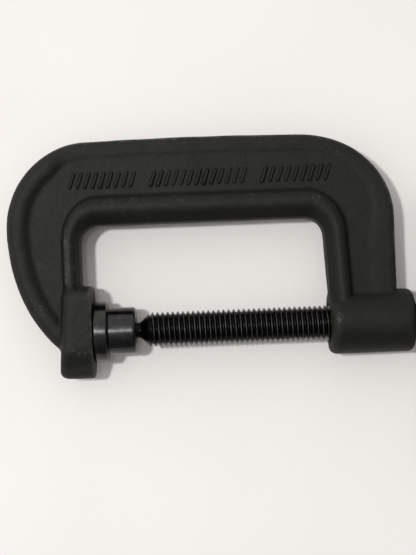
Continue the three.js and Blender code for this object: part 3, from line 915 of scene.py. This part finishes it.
def thread_look():
    """The thread: dark glossy oxide in the grooves, thin bright lines where its crests rubbed."""
    look = Look("black_oxide_thread", Metallic=RUBBED_STEEL_METAL)
    at = look.place()
    blotch = look.noise(at, *THREAD_BLOTCH)
    grain = look.noise(at, *THREAD_GRAIN)
    crest = look.span(look.stored("crest"), *THREAD_CREST)
    rubbed = look.math("MULTIPLY", crest, look.span(blotch, *THREAD_PATCHY))
    shade = look.total((blotch, 0.25), (grain, 0.15), (rubbed, 0.6))
    look.colour_by(shade, THREAD_COLOURS)
    rough = look.span(grain, *MIDDLE, *THREAD_ROUGHNESS)
    rougher = look.math("MULTIPLY", rubbed, RUBBED_ROUGHER)
    look.drive("Roughness", look.math("ADD", rough, rougher))
    look.bump((grain, 0.01))
    return look.material


def hub_look():
    """The hub: the oxide of the turned pieces, rubbed bright on its edges."""
    look = Look("black_oxide_hub", Metallic=RUBBED_STEEL_METAL)
    at = look.place()
    ring = look.noise(look.turned("X"), *HUB_RING)
    blotch = look.noise(at, *HUB_BLOTCH)
    edge = look.span(look.stored("bulge"), *HUB_EDGE)
    rubbed = look.math("MULTIPLY", edge, look.span(blotch, *HUB_PATCHY))
    shade = look.total((ring, 0.3), (blotch, 0.4), (rubbed, 0.35))
    look.colour_by(shade, HUB_COLOURS)
    look.drive("Roughness", look.span(shade, *HUB_SHADES, *HUB_ROUGHNESS))
    look.bump((ring, 0.008), (blotch, 0.02))
    return look.material


def spring_look():
    """Drawn spring steel for the ring, with marks that run round it."""
    look = Look("spring_steel", Metallic=1.0)
    at = look.place()
    drawn = look.noise(look.turned("X"), *SPRING_DRAWN)
    blotch = look.noise(at, *SPRING_BLOTCH)
    shade = look.total((drawn, 0.5), (blotch, 0.5))
    look.colour_by(shade, SPRING_COLOURS)
    look.drive("Roughness", look.span(shade, *MIDDLE, *SPRING_ROUGHNESS))
    look.bump((drawn, 0.006))
    return look.material


def cloth_look():
    """The pale cloth of the floor."""
    look = Look("pale_cloth", Roughness=CLOTH_ROUGHNESS)
    at = look.place()
    weave = look.noise(at, *CLOTH_WEAVE)
    cloud = look.noise(at, *CLOTH_CLOUD)
    look.colour_by(look.total((cloud, 0.7), (weave, 0.3)), CLOTH_COLOURS)
    look.bump((weave, 0.05))
    return look.material


# ---- Floor, light and camera ---------------------------------------------------------------------


def floor_lines(centre):
    """Grid lines close together near the clamp and far apart away from it."""
    near = np.linspace(-FLOOR_NEAR, FLOOR_NEAR, FLOOR_LINES)
    far = FLOOR_NEAR * np.geomspace(FLOOR_FIRST_FAR, FLOOR_FAR / FLOOR_NEAR, FLOOR_FAR_LINES)
    return np.concatenate([-far[::-1], near, far]) + centre


def make_floor(material):
    """A cloth laid flat, with the floor's grid close together near the clamp."""
    middle = (cad_low + cad_high) / 2
    x, y = np.meshgrid(floor_lines(middle.x), floor_lines(middle.y), indexing="ij")
    points = np.stack([x, y, np.zeros_like(x)], -1).reshape(-1, 3)
    count = x.shape[1]
    faces = []
    for row in range(x.shape[0] - 1):
        for column in range(count - 1):
            a = row * count + column
            faces.append((a, a + count, a + count + 1, a + 1))
    mesh = bpy.data.meshes.new("cloth_floor")
    mesh.from_pydata(points.tolist(), [], faces)
    mesh.polygons.foreach_set("use_smooth", [True] * len(faces))
    mesh.materials.append(material)
    floor = bpy.data.objects.new("cloth_floor", mesh)
    bpy.context.scene.collection.objects.link(floor)


def aim(thing, place, target, roll=0.0):
    """Puts a camera or light at a place in clamp coordinates, turned to a target."""
    place, target = (Vector(to_row(p)) for p in (place, target))
    back = (place - target).normalized()
    right = Vector((0, 1, 0)).cross(back).normalized()
    turn = Matrix((right, back.cross(right), back)).transposed().to_4x4()
    thing.matrix_world = Matrix.Translation(place) @ turn @ Matrix.Rotation(roll, 4, "Z")


def add_lamp(name, place, size, power, colour):
    """A round soft lamp turned to the middle of the clamp."""
    lamp = bpy.data.lights.new(name, "AREA")
    lamp.shape = "DISK"
    lamp.size = size * MM
    lamp.energy = power
    lamp.color = colour
    thing = bpy.data.objects.new(name, lamp)
    bpy.context.scene.collection.objects.link(thing)
    aim(thing, place, LIGHT_TARGET)


def make_room():
    """Pale light from all round, brighter on one side of the room than on the other."""
    world = bpy.data.worlds.new("pale_room")
    world.use_nodes = True
    tree = world.node_tree
    background = tree.nodes["Background"]
    background.inputs["Color"].default_value = (*ROOM_COLOUR, 1)
    way = tree.nodes.new("ShaderNodeTexCoord").outputs["Generated"]
    side = tree.nodes.new("ShaderNodeVectorMath")
    side.operation = "DOT_PRODUCT"
    side.inputs[1].default_value = ROOM_WAY
    spread = tree.nodes.new("ShaderNodeMapRange")
    spread.inputs["From Min"].default_value = -ROOM_REACH
    spread.inputs["From Max"].default_value = ROOM_REACH
    spread.inputs["To Min"].default_value = ROOM_DARK
    spread.inputs["To Max"].default_value = ROOM_BRIGHT
    tree.links.new(way, side.inputs[0])
    tree.links.new(side.outputs["Value"], spread.inputs["Value"])
    tree.links.new(spread.outputs["Result"], background.inputs["Strength"])
    bpy.context.scene.world = world


def make_camera():
    """The camera straight above the clamp, a little turned."""
    camera = bpy.data.objects.new("camera", bpy.data.cameras.new("camera"))
    camera.data.lens = LENS
    camera.data.sensor_width = SENSOR
    bpy.context.scene.collection.objects.link(camera)
    aim(camera, CAMERA_PLACE, CAMERA_TARGET, -CAMERA_ROLL)
    bpy.context.scene.camera = camera


# ---- The scene -----------------------------------------------------------------------------------

painted = forging_look()
make_forging(painted)
make_marks(painted)
make_screw(thread_look())
make_hub(hub_look())
make_pad(oxide_look("black_oxide_pad", "X", PAD_ROUGHNESS))
bar_finish = oxide_look("black_oxide_bar", "Y", BAR_ROUGHNESS)
make_bar(bar_finish)
make_knob("handle_knob_a", 1, bar_finish)
make_knob("handle_knob_b", -1, bar_finish)
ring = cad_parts["pad_retaining_ring"]
ring.data.materials.clear()
ring.data.materials.append(spring_look())
make_floor(cloth_look())
make_room()
for lamp in LAMPS:
    add_lamp(*lamp)
make_camera()
bpy.context.scene.view_settings.view_transform = "Standard"
